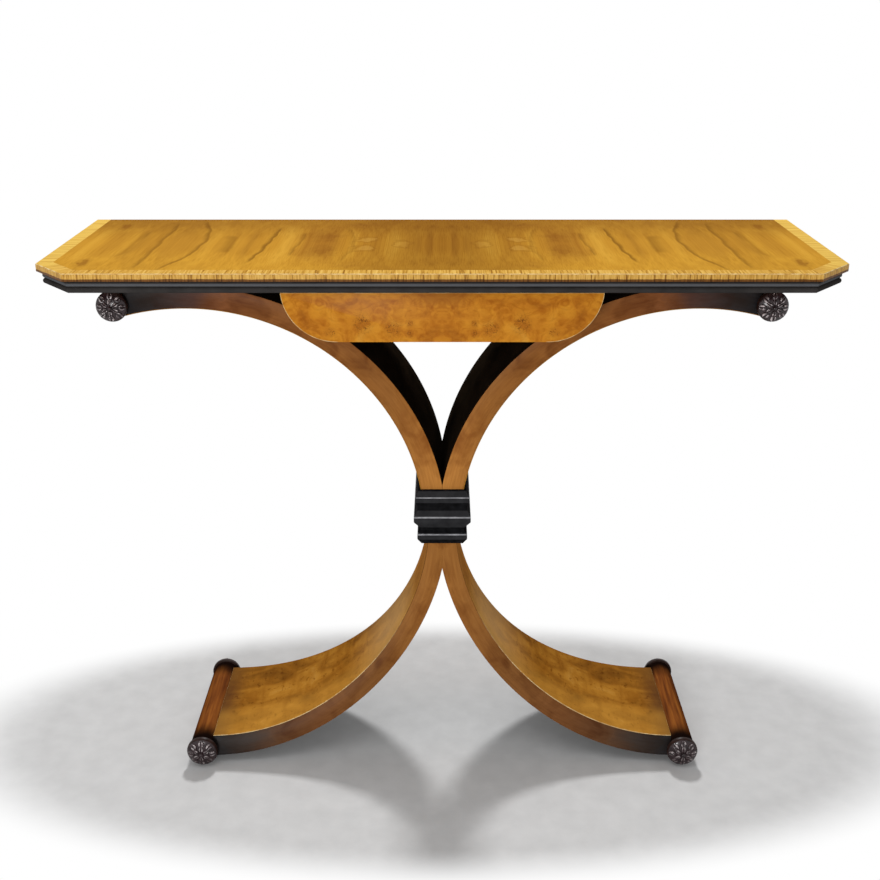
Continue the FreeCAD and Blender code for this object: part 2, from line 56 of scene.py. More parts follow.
class Finish:
    # One finish, with its shader and the nodes that feed it from the piece's own coordinates.

    def __init__(self, name, roughness, coat=0.0, specular=0.5):
        self.material = bpy.data.materials.new(name)
        self.material.use_nodes = True
        self.tree = self.material.node_tree
        self.shader = self.tree.nodes["Principled BSDF"]
        self.shader.inputs["Roughness"].default_value = roughness
        self.shader.inputs["Specular IOR Level"].default_value = specular
        self.shader.inputs["Coat Weight"].default_value = coat
        self.shader.inputs["Coat Roughness"].default_value = 0.1
        self.place = self.node("TexCoord").outputs["Object"]
        parts = self.node("SeparateXYZ", {"Vector": self.place}).outputs
        self.x, self.y, self.z = parts["X"], parts["Y"], parts["Z"]

    def node(self, kind, inputs=None, **settings):
        # A new shader node, with a value or a link for each input that is named.
        made = self.tree.nodes.new("ShaderNode" + kind)
        for setting, value in settings.items():
            setattr(made, setting, value)
        for socket, value in (inputs or {}).items():
            if isinstance(value, bpy.types.NodeSocket):
                self.tree.links.new(value, made.inputs[socket])
            else:
                made.inputs[socket].default_value = value
        return made

    def calc(self, operation, first, second=0.0, third=0.0):
        # One step of arithmetic on numbers and outputs of nodes.
        return self.node("Math", {0: first, 1: second, 2: third}, operation=operation).outputs[0]

    def point(self, x=0.0, y=0.0, z=0.0):
        return self.node("CombineXYZ", {"X": x, "Y": y, "Z": z}).outputs[0]

    def distance(self, x, y):
        return self.node("VectorMath", {0: self.point(x, y)}, operation="LENGTH").outputs["Value"]

    def oval(self, x, y, middle_x, middle_y, half_wide, half_long):
        # The distance from the middle of an oval, which is 1 on its rim.
        share_x = self.calc("DIVIDE", self.calc("SUBTRACT", x, middle_x), half_wide)
        share_y = self.calc("DIVIDE", self.calc("SUBTRACT", y, middle_y), half_long)
        return self.distance(share_x, share_y)

    def cloud(self, vector, scale, detail=3.0, roughness=0.5, twist=0.0):
        # Soft noise about 0.5, at one scale, or stretched where the scale has a number for each axis.
        if isinstance(scale, tuple):
            vector = self.node("Mapping", {"Vector": vector, "Scale": scale}).outputs[0]
            scale = 1.0
        inputs = {"Vector": vector, "Scale": scale, "Detail": detail, "Roughness": roughness, "Distortion": twist}
        return self.node("TexNoise", inputs).outputs["Fac"]

    def step(self, value, low, high, start=0.0, end=1.0):
        # A smooth change from start to end as the value goes from low to high.
        inputs = {"Value": value, "From Min": low, "From Max": high, "To Min": start, "To Max": end}
        return self.node("MapRange", inputs, interpolation_type="SMOOTHSTEP").outputs["Result"]

    def ramp(self, value, stops):
        # Colours that follow a value, each stop with its position and colour.
        made = self.node("ValToRGB", {"Fac": value})
        elements = made.color_ramp.elements
        elements[0].position, elements[0].color = stops[0]
        elements[1].position, elements[1].color = stops[-1]
        for position, colour in stops[1:-1]:
            elements.new(position).color = colour
        return made.outputs["Color"]

    def mix(self, share, first, second, blend="MIX"):
        made = self.node("Mix", {0: share, 6: first, 7: second}, data_type="RGBA", blend_type=blend)
        return made.outputs[2]

    def colour(self, value):
        self.tree.links.new(value, self.shader.inputs["Base Color"])

    def gloss(self, value, low, high):
        # Roughness that wanders between low and high with a value from 0 to 1.
        self.tree.links.new(self.step(value, 0.0, 1.0, low, high), self.shader.inputs["Roughness"])

    def relief(self, height, depth):
        # A fine unevenness of the surface, at most as deep as given, in metres.
        inputs = {"Height": height, "Distance": depth, "Strength": 0.6}
        self.tree.links.new(self.node("Bump", inputs).outputs["Normal"], self.shader.inputs["Normal"])


def planed_timber(name, along):
    # Straight-grained softwood, with the grain along the given scale's small axis.
    timber = Finish(name, 0.6, specular=0.3)
    grain = timber.cloud(timber.place, along, 5.0, 0.6, 0.4)
    patch = timber.cloud(timber.place, 6.0)
    wood = timber.ramp(grain, [(0.3, tone(126, 90, 54)), (0.5, tone(172, 132, 86)), (0.7, tone(188, 150, 102))])
    timber.colour(timber.mix(timber.step(patch, 0.35, 0.75, 0.0, 0.35), wood, tone(140, 104, 66)))
    timber.gloss(grain, 0.5, 0.7)
    timber.relief(grain, 0.0006)
    return timber


def dress(finish, *names):
    # Gives the CAD pieces of these names their finish.
    for name in names:
        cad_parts[name].material_slots[0].material = finish.material


long_timber = planed_timber("planed timber along the top", (5.0, 160.0, 160.0))
dress(long_timber, "top_core")


# Field veneer
# Four leaves of figured veneer laid on the board, matched from side to side and from front to back.
# The figure runs from front to back in soft streaks and a few thin dark lines, under a thin wax polish.

def named(start):
    # The CAD pieces whose names begin with these words.
    return [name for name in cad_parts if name.startswith(start)]


field = Finish("figured field veneer", 0.45, specular=0.0)
fold_x = field.calc("ABSOLUTE", field.x)
fold_y = field.calc("ABSOLUTE", field.y)
soft_fold = field.calc("MULTIPLY", field.calc("MULTIPLY", field.y, field.y), 5.0)
folded = field.point(fold_x, soft_fold)
drift = field.cloud(folded, (9.0, 7.0, 1.0), 3.0, 0.5, 0.5)
streaks = field.cloud(folded, (24.0, 5.0, 1.0), 4.0, 0.55, 0.8)
ground = field.ramp(streaks, [(0.3, tone(150, 97, 35)), (0.46, tone(186, 129, 44)), (0.58, tone(204, 147, 51)),
                              (0.72, tone(220, 166, 64))])
figured = field.mix(field.step(drift, 0.46, 0.66, 0.0, 0.6), ground, tone(154, 98, 38))
figured = field.mix(field.step(drift, 0.46, 0.3, 0.0, 0.5), figured, tone(214, 160, 58))
# Painted light and shade: the field is painted lighter towards the ends and the front, and darker towards the back
# and the middle.
figured = field.mix(field.step(fold_x, 0.12, 0.35, 0.0, 0.45), figured, tone(224, 168, 62))
figured = field.mix(field.step(field.y, 0.0, -0.18, 0.0, 0.42), figured, tone(226, 170, 60))
figured = field.mix(field.step(field.y, 0.0, 0.17, 0.0, 0.56), figured, tone(138, 92, 37))
figured = field.mix(field.step(fold_x, 0.03, 0.2, 0.5, 0.0), figured, tone(140, 94, 32))
# A thin darker strip along the back edge.
figured = field.mix(field.step(field.y, 0.176, 0.19, 0.0, 0.5), figured, tone(126, 82, 40))
pores = field.cloud(folded, (700.0, 28.0, 1.0), 3.0, 0.6)
pore_shade = field.ramp(pores, [(0.3, tone(206, 190, 168)), (0.55, tone(255, 255, 255))])
figured = field.mix(0.5, figured, pore_shade, "MULTIPLY")
combed = field.cloud(folded, (150.0, 7.0, 1.0), 4.0, 0.6, 0.6)
combed_shade = field.ramp(combed, [(0.35, tone(216, 200, 178)), (0.6, tone(255, 255, 255))])
figured = field.mix(0.12, figured, combed_shade, "MULTIPLY")

# Thin dark lines: the distance from the middle of the top, the lean and bow, the reach, the width and the strength.
side_matched = field.point(fold_x, field.y)
stray = field.cloud(side_matched, (24.0, 15.0, 1.0), 3.0, 0.5)
strayed = field.calc("MULTIPLY_ADD", stray, 0.018, field.calc("ADD", fold_x, -0.009))
dark_lines = ((0.409, 0.0, 0.1, 0.160, 0.0030, 0.42), (0.348, -0.02, 0.9, 0.170, 0.0026, 0.50),
              (0.252, -0.07, 0.25, 0.120, 0.0026, 0.60), (0.305, 0.05, 0.2, 0.060, 0.0070, 0.35),
              (0.445, -0.04, 0.5, 0.090, 0.0040, 0.22), (0.207, -0.05, 0.4, 0.080, 0.0024, 0.35),
              (0.128, 0.02, 0.9, 0.120, 0.0030, 0.22))
for from_middle, lean, bow, reach, width, strength in dark_lines:
    slope = field.calc("MULTIPLY_ADD", field.y, bow, lean)
    beside = field.calc("SUBTRACT", strayed, field.calc("MULTIPLY_ADD", field.y, slope, from_middle))
    inner_side = field.step(beside, -width, 0.0, 0.0, strength)
    outer_side = field.step(beside, 0.0, 3 * width, 1.0, 0.0)
    run_out = field.step(fold_y, 0.8 * reach, 1.1 * reach, 1.0, 0.0)
    darkness = field.calc("MULTIPLY", field.calc("MULTIPLY", inner_side, outer_side), run_out)
    figured = field.mix(darkness, figured, tone(98, 60, 22))

# Small eyes in the figure: the place of each, half its width and length, the colour and strength of its middle, and
# the strength of its rim.
pale_eye = tone(214, 168, 84)
brown_eye = tone(132, 80, 30)
eyes = ((0.112, 0.030, 0.016, 0.020, pale_eye, 0.26, 0.20), (0.057, 0.0, 0.014, 0.024, pale_eye, 0.14, 0.22),
        (0.170, 0.048, 0.020, 0.034, brown_eye, 0.34, 0.12), (0.488, 0.130, 0.010, 0.030, brown_eye, 0.60, 0.15))
ripple = field.cloud(side_matched, (70.0, 42.0, 1.0), 2.0, 0.5, 0.4)
for eye_x, eye_y, half_wide, half_long, middle_colour, middle_strength, rim_strength in eyes:
    from_eye = field.oval(fold_x, fold_y, eye_x, eye_y, half_wide, half_long)
    from_eye = field.calc("MULTIPLY_ADD", ripple, 2.0, field.calc("ADD", from_eye, -1.0))
    figured = field.mix(field.step(from_eye, 0.3, 1.0, middle_strength, 0.0), figured, middle_colour)
    off_rim = field.calc("ABSOLUTE", field.calc("ADD", from_eye, -1.0))
    figured = field.mix(field.step(off_rim, 0.0, 0.35, rim_strength, 0.0), figured, tone(118, 74, 28))
field.colour(figured)
field.gloss(streaks, 0.4, 0.55)
field.relief(pores, 0.00015)
dress(field, *named("top_veneer"))


# Crossbands
# Five mitred strips of pale straight-grained veneer round the front and ends, with the grain square to the edge.
# Their outer arrises carry a thin pale painted highlight, and the end strips are painted paler as a painted sheen.

veneer_thickness = 0.001
arris_width = 0.0009
tolerance = 1e-5

band = Finish("crossband veneer", 0.45, specular=0.0)
grain_map = band.node("UVMap", uv_map="grain").outputs["UV"]
ticks = band.cloud(grain_map, (420.0, 14.0, 1.0), 3.0, 0.65, 0.3)
stripes = band.cloud(grain_map, (70.0, 6.0, 1.0), 2.0, 0.5)
banded = band.ramp(ticks, [(0.33, tone(156, 105, 40)), (0.45, tone(216, 164, 70)), (0.62, tone(240, 196, 104))])
banded = band.mix(band.step(stripes, 0.45, 0.7, 0.0, 0.5), banded, tone(204, 150, 60))
# The end strips are painted paler, a painted sheen.
at_end = band.step(band.calc("ABSOLUTE", band.x), 0.49, 0.53, 0.0, 0.55)
banded = band.mix(at_end, banded, tone(250, 214, 108))
end_lines = band.ramp(band.cloud(grain_map, (230.0, 9.0, 1.0), 3.0, 0.6, 0.4),
                      [(0.36, tone(196, 150, 92)), (0.5, tone(255, 255, 255))])
band.colour(band.mix(at_end, banded, end_lines, "MULTIPLY"))
band.gloss(ticks, 0.38, 0.52)
band.relief(ticks, 0.00015)

# A thin pale painted highlight for the rounded outer arrises.
arris = Finish("pale arris painted highlight", 0.4, specular=0.0)
arris_highlight_mottle = arris.cloud(arris.place, 90.0, 4.0, 0.6)
arris.colour(arris.ramp(arris_highlight_mottle, [(0.35, tone(206, 158, 90)), (0.6, tone(248, 222, 164))]))
arris.gloss(arris_highlight_mottle, 0.3, 0.5)


def welded_copy(node):
    # The CAD piece's own shape as one closed mesh with its flat faces whole.
    mesh = bmesh.new()
    mesh.from_mesh(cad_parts[node].data)
    bmesh.ops.remove_doubles(mesh, verts=mesh.verts[:], dist=tolerance)
    bmesh.ops.dissolve_limit(mesh, angle_limit=math.radians(1), verts=mesh.verts[:], edges=mesh.edges[:])
    bmesh.ops.recalc_face_normals(mesh, faces=mesh.faces[:])
    return mesh


def rounded(mesh, edges, width, segments=2):
    # Rounds the given edges over and gives the new narrow faces.
    made = bmesh.ops.bevel(mesh, geom=edges, offset=width, offset_type="OFFSET", affect="EDGES", segments=segments,
                           profile=0.5, material=-1, clamp_overlap=True)
    return made["faces"]


def set_piece(mesh, name, slot, finishes, *nodes, body="table_frame"):
    # Makes the finished mesh a piece that stands for its CAD nodes and rides on their body.
    data = bpy.data.meshes.new(name)
    mesh.to_mesh(data)
    mesh.free()
    for finish in finishes:
        data.materials.append(finish.material)
    piece = bpy.data.objects.new(name, data)
    bpy.context.scene.collection.objects.link(piece)
    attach(piece, body)
    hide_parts(*nodes)


outward = {"front": (0, -1, 0), "end": (1, 0, 0), "cant": (0.061, -0.052, 0)}
for strip_name in ("front", "end_left", "end_right", "cant_left", "cant_right"):
    strip = welded_copy("crossband_" + strip_name)
    across = Vector(outward[strip_name.split("_")[0]]).normalized()
    if strip_name.endswith("left"):
        across.x = -across.x
    run = Vector((-across.y, across.x, 0))
    rim = max(across.dot(vert.co) for vert in strip.verts)
    upper_face = max(vert.co.z for vert in strip.verts)
    highlight_edges = []
    for edge in strip.edges:
        on_rim = all(across.dot(vert.co) > rim - tolerance for vert in edge.verts)
        if on_rim and all(vert.co.z > upper_face - tolerance for vert in edge.verts):
            highlight_edges.append(edge)
    for face in rounded(strip, highlight_edges, arris_width):
        face.material_index = 1
    grain_layer = strip.loops.layers.uv.new("grain")
    for face in strip.faces:
        for corner in face.loops:
            corner[grain_layer].uv = (run.dot(corner.vert.co), across.dot(corner.vert.co))
    set_piece(strip, strip_name + "_crossband", "crossband_veneer", (band, arris), "crossband_" + strip_name)


# Edge bands
# Thin strips glued round the edge of the board, again with the grain upright.
# The upper part is pale and ticked with dark grain, and the lower part is a darker warm brown.

brown_low = 0.8042
brown_high = 0.8052

edging = Finish("edge band veneer", 0.4, specular=0.05)
upright = edging.cloud(edging.place, (380.0, 380.0, 25.0), 3.0, 0.7, 0.3)
blotch = edging.cloud(edging.place, (45.0, 45.0, 8.0), 2.0)
pale_edge = edging.ramp(upright, [(0.34, tone(134, 88, 36)), (0.44, tone(204, 152, 68)), (0.6, tone(228, 182, 94))])
brown_edge = edging.ramp(upright, [(0.35, tone(78, 48, 22)), (0.6, tone(126, 82, 38))])
split = edging.calc("MULTIPLY_ADD", blotch, 0.002, edging.calc("ADD", edging.z, -0.001))
edging.colour(edging.mix(edging.step(split, brown_low, brown_high), brown_edge, pale_edge))
edging.gloss(upright, 0.28, 0.42)
dress(edging, *named("edge_band"))


# Reeded mouldings
# Five mitred strips glued under the overhang of the top, each with two half-round reeds.
# They are pearwood stained blue-black and french polished, which is what ebonised means, with a painted highlight
# along the upper reed.

ebony = Finish("ebonised pearwood", 0.25, specular=0.0)
stain = ebony.cloud(ebony.place, 22.0, 4.0, 0.6)
brushing = ebony.cloud(ebony.place, (14.0, 90.0, 240.0), 3.0, 0.6)
ebony_black = ebony.ramp(stain, [(0.3, tone(50, 48, 47)), (0.7, tone(66, 63, 62))])
# A painted highlight along the crest of the upper reed.
above_groove = ebony.step(ebony.z, 0.7928, 0.7942, 0.0, 0.9)
below_fillet = ebony.step(ebony.z, 0.7962, 0.7978, 1.0, 0.0)
ebony.colour(ebony.mix(ebony.calc("MULTIPLY", above_groove, below_fillet), ebony_black, tone(96, 98, 102)))
ebony.gloss(brushing, 0.18, 0.34)
dress(ebony, *named("moulding"))


# Bearers
# Two blocks screwed up into the board from below, with the ends of the upper arms dowelled to them.
# They sit back in the shade of the top and are stained a dull black.

lampblack = Finish("dull black stain", 0.8, specular=0.0)
rubbing = lampblack.cloud(lampblack.place, (30.0, 12.0, 30.0), 4.0, 0.6)
lampblack.colour(lampblack.ramp(rubbing, [(0.3, tone(18, 14, 10)), (0.7, tone(36, 28, 20))]))
lampblack.gloss(rubbing, 0.7, 0.85)
lampblack.relief(rubbing, 0.0002)
dress(lampblack, "top_bearer_left", "top_bearer_right")


# Upper arms
# Each is bent up from laminations to a quarter circle, runs level along its bearer and ends at a roll.
# The front and back edges are brown and fade to black at the end, and the swelling face is stained a dull black.

upper_centre = Vector((0.361114, 0, 0.405386))
upper_radius = 0.334614
upper_thickness = 0.0325
upper_half_depth = 0.093
arm_top = 0.7725
landing_end = 0.445
arm_joint = 0.4214575
upper_start = 18
upper_sweep = -106.5
arm_arris = 0.0008


def arm_edge(name, centre, shades):
    # Polished edge wood, whose grain follows the bend and whose colour changes with the distance from the middle.
    edge = Finish(name, 0.4, specular=0.06)
    out = edge.calc("ABSOLUTE", edge.x)
    level = edge.calc("SUBTRACT", edge.z, centre.z)
    sideways = edge.calc("SUBTRACT", out, centre.x)
    turn = edge.calc("ARCTAN2", level, sideways)
    bent = edge.point(edge.distance(sideways, level), turn, edge.y)
    grain = edge.cloud(bent, (420.0, 9.0, 30.0), 4.0, 0.6, 0.2)
    mottle = edge.cloud(bent, (38.0, 8.0, 10.0), 3.0, 0.55, 0.5)
    faded = edge.calc("MULTIPLY_ADD", mottle, 0.06, edge.calc("ADD", out, -0.03))
    wood = edge.ramp(faded, [(distance, tone(*shade)) for distance, shade in shades])
    figure = edge.ramp(mottle, [(0.3, tone(190, 170, 152)), (0.6, tone(255, 255, 255))])
    wood = edge.mix(0.9, wood, figure, "MULTIPLY")
    streaks = edge.ramp(grain, [(0.3, tone(206, 192, 180)), (0.6, tone(255, 255, 255))])
    edge.colour(edge.mix(0.4, wood, streaks, "MULTIPLY"))
    edge.gloss(grain, 0.32, 0.48)
    edge.relief(grain, 0.0001)
    return edge


upper_shades = [(0.02, (196, 132, 62)), (0.08, (160, 104, 48)), (0.24, (150, 94, 46)), (0.31, (140, 86, 48)),
                (0.35, (88, 60, 50)), (0.40, (58, 51, 50)), (0.44, (36, 36, 39))]
upper_edge = arm_edge("upper arm edge", upper_centre, upper_shades)

hollow = Finish("hollow face veneer", 0.4, specular=0.0)
mirrored = hollow.point(hollow.calc("ABSOLUTE", hollow.x), hollow.y, hollow.z)
billow = hollow.cloud(mirrored, (16.0, 22.0, 16.0), 4.0, 0.55, 0.8)
fleck = hollow.cloud(mirrored, (150.0, 90.0, 150.0), 3.0, 0.6, 0.4)
flame = hollow.cloud(mirrored, (60.0, 14.0, 60.0), 3.0, 0.55, 0.6)
hollow_wood = hollow.ramp(billow, [(0.28, tone(126, 80, 26)), (0.45, tone(162, 107, 36)), (0.6, tone(184, 127, 46)),
                                   (0.75, tone(198, 146, 66))])
fleck_shade = hollow.ramp(fleck, [(0.28, tone(160, 130, 100)), (0.42, tone(255, 255, 255))])
flame_shade = hollow.ramp(flame, [(0.3, tone(216, 200, 180)), (0.6, tone(255, 255, 255))])
hollow_wood = hollow.mix(0.7, hollow_wood, fleck_shade, "MULTIPLY")
hollow_wood = hollow.mix(0.7, hollow_wood, flame_shade, "MULTIPLY")
# A pale painted sheen high on the hollow of the leg.
rising = hollow.step(hollow.z, 0.11, 0.19)
falling = hollow.step(hollow.z, 0.2, 0.3, 0.5, 0.0)
hollow_wood = hollow.mix(hollow.calc("MULTIPLY", rising, falling), hollow_wood, tone(206, 168, 116))
# Painted shade where the hollow meets the roll at the toe.
toe_painted_shade = hollow.step(hollow.calc("ABSOLUTE", hollow.x), 0.325, 0.364, 0.0, 0.75)
hollow_wood = hollow.mix(toe_painted_shade, hollow_wood, tone(84, 54, 36))
# Darker towards the back and lighter at the front.
hollow_wood = hollow.mix(hollow.step(hollow.y, -0.03, 0.11, 0.0, 0.35), hollow_wood, tone(122, 78, 28))
hollow_wood = hollow.mix(hollow.step(hollow.y, -0.01, -0.055, 0.0, 0.32), hollow_wood, tone(208, 152, 64))
# Painted light: the hollow is painted lighter high on the leg, below the collar.
above_leg = hollow.step(hollow.z, 0.24, 0.32, 0.0, 0.85)
below_collar = hollow.step(hollow.z, 0.4, 0.44, 1.0, 0.0)
hollow.colour(hollow.mix(hollow.calc("MULTIPLY", above_leg, below_collar), hollow_wood, tone(188, 125, 62)))
hollow.gloss(billow, 0.3, 0.45)
hollow.relief(fleck, 0.0001)


def bent_bar(centre, inner, outer, half_depth, start, sweep):
    # A bar of rectangular section swept round a centre, from a start angle through a sweep in degrees.
    mesh = bmesh.new()
    section = ((inner, -half_depth), (inner, half_depth), (outer, half_depth), (outer, -half_depth))
    lift = Matrix.Rotation(math.radians(start), 3, "Y")
    corners = [mesh.verts.new(centre + lift @ Vector((0, y, radius))) for radius, y in section]
    mesh.faces.new(corners)
    everything = mesh.verts[:] + mesh.edges[:] + mesh.faces[:]
    bmesh.ops.spin(mesh, geom=everything, cent=centre, axis=(0, 1, 0), angle=math.radians(sweep),
                   steps=round(abs(sweep) / 1.5))
    return mesh


def saw(mesh, place, away):
    # Saws the piece through, throws away what lies beyond the cut, and closes it.
    everything = mesh.verts[:] + mesh.edges[:] + mesh.faces[:]
    cut = bmesh.ops.bisect_plane(mesh, geom=everything, plane_co=place, plane_no=away, clear_outer=True)
    rim = [part for part in cut["geom_cut"] if isinstance(part, bmesh.types.BMEdge)]
    bmesh.ops.edgeloop_fill(mesh, edges=rim)


def ease(mesh, width, segments=2):
    # Takes the sharpness off all the arrises and gives the new narrow faces.
    sharp = [edge for edge in mesh.edges if edge.calc_face_angle(0) > math.radians(40)]
    return rounded(mesh, sharp, width, segments)


def smooth_curves(mesh, sharpness=35):
    # Shades the curves smoothly and keeps edges over the given angle crisp.
    for face in mesh.faces:
        face.smooth = True
    for edge in mesh.edges:
        edge.smooth = edge.calc_face_angle(0) < math.radians(sharpness)


def turned_over(mesh, side):
    # The left-hand piece is the right-hand one turned over.
    if side == "left":
        bmesh.ops.scale(mesh, vec=(-1, 1, 1), verts=mesh.verts[:])
    bmesh.ops.recalc_face_normals(mesh, faces=mesh.faces[:])


def paint_by_side(mesh):
    # Front and back faces take the first finish, all others the second.
    for face in mesh.faces:
        face.material_index = 0 if abs(face.normal.y) > 0.8 else 1


def upper_bar(inner, outer):
    mesh = bent_bar(upper_centre, inner, outer, upper_half_depth, upper_start, upper_sweep)
    saw(mesh, (0, 0, arm_joint), (0, 0, -1))
    return mesh


for side in ("left", "right"):
    core = upper_bar(upper_radius + veneer_thickness, upper_radius + upper_thickness)
    for vert in core.verts:
        from_centre = (vert.co - upper_centre).xz.length
        if vert.co.x > upper_centre.x and from_centre > upper_radius + upper_thickness / 2:
            vert.co.z = arm_top
    saw(core, (landing_end, 0, 0), (1, 0, 0))
    saw(core, (0, 0, 0), (-1, 0, 0))
    turned_over(core, side)
    paint_by_side(core)
    ease(core, arm_arris)
    smooth_curves(core)
    set_piece(core, side + "_upper_arm", "arm_wood", (upper_edge, lampblack), "upper_arm_" + side)
    skin = upper_bar(upper_radius, upper_radius + veneer_thickness)
    saw(skin, (landing_end, 0, 0), (1, 0, 0))
    turned_over(skin, side)
    smooth_curves(skin)
    set_piece(skin, side + "_upper_arm_hollow_face", "arm_veneer", (hollow,), "upper_arm_veneer_" + side)


# Lower arms
# Each carries the curve on down to a foot, and swells from a narrow waist to the full depth of its roll.
# A full-depth shoulder inside the collar is dowelled to the upper arm, and a burl face lines the hollow.

lower_centre = Vector((0.3669575, 0, 0.3894575))
lower_radius = 0.3459575
lower_thickness = 0.0295
shoulder = 0.3794575
arm_floor_gap = 0.014
waist_half_depth = 0.041
foot_half_depth = 0.1135
toe_end = 0.3649575
lower_start = 180
lower_sweep = 99
shoulder_step = 0.0002
face_arris = 0.0007

lower_shades = [(0.02, (172, 114, 54)), (0.1, (138, 90, 44)), (0.19, (128, 82, 44)), (0.26, (104, 70, 44)),
                (0.31, (66, 54, 47)), (0.35, (44, 42, 43))]
lower_edge = arm_edge("lower arm edge", lower_centre, lower_shades)

# A thin pale painted highlight along the arris of the hollow face, fading to brown higher up the leg.
leg_arris_highlight = Finish("leg arris painted highlight", 0.4, specular=0.0)
leg_highlight_mottle = leg_arris_highlight.cloud(leg_arris_highlight.place, 90.0, 4.0, 0.6)
leg_highlight = leg_arris_highlight.ramp(leg_highlight_mottle, [(0.35, tone(196, 150, 92)), (0.6, tone(240, 214, 160))])
leg_arris_highlight.colour(leg_arris_highlight.mix(leg_arris_highlight.step(leg_arris_highlight.z, 0.12, 0.26), leg_highlight, tone(128, 84, 40)))
leg_arris_highlight.gloss(leg_highlight_mottle, 0.3, 0.5)


def half_depth_at(height):
    # Half the depth of the leg, which follows one hollow circular curve from waist to foot.
    if height > shoulder - shoulder_step / 2:
        return upper_half_depth
    drop = shoulder - arm_floor_gap
    swell = foot_half_depth - waist_half_depth
    flare_radius = (drop ** 2 + swell ** 2) / (2 * swell)
    return waist_half_depth + flare_radius - math.sqrt(flare_radius ** 2 - (shoulder - height) ** 2)


def lower_bar(inner, outer):
    # The bar is bent over-deep, and its front and back are then brought in to the flare.
    mesh = bent_bar(lower_centre, inner, outer, 1.0, lower_start, lower_sweep)
    saw(mesh, (toe_end, 0, 0), (1, 0, 0))
    saw(mesh, (0, 0, arm_joint), (0, 0, 1))
    for level in (shoulder, shoulder - shoulder_step):
        everything = mesh.verts[:] + mesh.edges[:] + mesh.faces[:]
        bmesh.ops.bisect_plane(mesh, geom=everything, plane_co=(0, 0, level), plane_no=(0, 0, 1))
    for vert in mesh.verts:
        vert.co.y = math.copysign(half_depth_at(vert.co.z), vert.co.y)
    return mesh


for side in ("left", "right"):
    core = lower_bar(lower_radius + veneer_thickness, lower_radius + lower_thickness)
    saw(core, (0, 0, 0), (-1, 0, 0))
    turned_over(core, side)
    paint_by_side(core)
    ease(core, arm_arris)
    smooth_curves(core)
    set_piece(core, side + "_lower_arm", "arm_wood", (lower_edge, lampblack), "lower_arm_" + side)
    skin = lower_bar(lower_radius, lower_radius + veneer_thickness)
    turned_over(skin, side)
    for face in skin.faces:
        face.material_index = 1 if abs(face.normal.y) > 0.8 else 0
    # The rounded arrises take the pale painted highlight.
    for face in ease(skin, face_arris, 1):
        face.material_index = 1
    smooth_curves(skin)
    set_piece(skin, side + "_lower_arm_hollow_face", "arm_veneer", (hollow, leg_arris_highlight), "lower_arm_veneer_" + side)


# Collar
# Four strips of one three-tier moulding, mitred round the waist where the arms are joined.
# They are ebonised like the mouldings, with a painted highlight along the top of each tier and painted shade in the
# grooves.

waist_half_width = 0.0305
seat_gap = 0.001
tier_round = 0.0012
groove_depth = 0.005
tier_depth = 0.0085
low_tier_depth = 0.006
low_tier_top = 0.4
neck_foot = 0.4335
neck_top = 0.4472

collar_black = Finish("collar black", 0.3, specular=0.0)
grime = collar_black.cloud(collar_black.place, 60.0, 4.0, 0.6)
collar_black.colour(collar_black.ramp(grime, [(0.3, tone(40, 40, 42)), (0.7, tone(54, 54, 56))]))
collar_black.gloss(grime, 0.24, 0.4)

tier_highlight = Finish("collar tier painted highlight", 0.25, specular=0.0)
tier_highlight_mottle = tier_highlight.cloud(tier_highlight.place, 90.0, 3.0, 0.6)
tier_highlight.colour(tier_highlight.ramp(tier_highlight_mottle, [(0.3, tone(112, 112, 116)), (0.7, tone(170, 170, 174))]))
tier_highlight.gloss(tier_highlight_mottle, 0.2, 0.35)

groove_painted_shade = Finish("collar groove painted shade", 0.6, specular=0.0)
groove_mottle = groove_painted_shade.cloud(groove_painted_shade.place, 120.0, 3.0)
groove_painted_shade.colour(groove_painted_shade.ramp(groove_mottle, [(0.3, tone(16, 16, 17)), (0.7, tone(28, 28, 30))]))
groove_painted_shade.gloss(groove_mottle, 0.5, 0.7)

for strip_name, run in (("front", "x"), ("back", "x"), ("side_left", "y"), ("side_right", "y")):
    strip = welded_copy("collar_" + strip_name)
    tiers = []
    for edge in strip.edges:
        span = edge.verts[0].co - edge.verts[1].co
        along_strip = abs(span.z) < tolerance and abs(span.y if run == "x" else span.x) < tolerance
        corner = edge.verts[0].co
        clear = max(abs(corner.x) - waist_half_width, abs(corner.y) - upper_half_depth)
        if along_strip and clear > seat_gap and edge.calc_face_angle(0) > math.radians(20):
            tiers.append(edge)
    arrises = set(rounded(strip, tiers, tier_round, 3))
    for face in strip.faces:
        middle = face.calc_center_median()
        proud = abs(middle.y) - upper_half_depth if run == "x" else abs(middle.x) - waist_half_width
        full_depth = low_tier_depth if middle.z < low_tier_top else tier_depth
        in_upper_neck = neck_foot < middle.z < neck_top
        # Faces on the top arris of each tier take the painted highlight, and faces in the grooves and the upper neck
        # take painted shade.
        if face in arrises and face.normal.z > 0.1 and proud > full_depth:
            face.material_index = 1
        elif proud < groove_depth or in_upper_neck:
            face.material_index = 2
    smooth_curves(strip, 30)
    set_piece(strip, strip_name + "_collar_strip", "ebonised_wood", (collar_black, tier_highlight, groove_painted_shade),
              "collar_" + strip_name)


# Rolls
# Turned bars glued and dowelled to the ends of the arms, each with one planed flat where it meets its arm.
# The upper pair is ebonised, and the lower pair is red-brown, blackened towards both ends and painted darker below
# the top as painted shade.

roll_flat = 0.0155
roll_chamfer = 0.001

redwood = Finish("polished roll wood", 0.3, specular=0.0)
lengthways = redwood.cloud(redwood.place, (160.0, 9.0, 160.0), 4.0, 0.6, 0.3)
smoke = redwood.cloud(redwood.place, 30.0, 3.0)
roll_wood = redwood.ramp(lengthways, [(0.3, tone(88, 46, 24)), (0.5, tone(130, 74, 33)), (0.7, tone(160, 98, 42))])
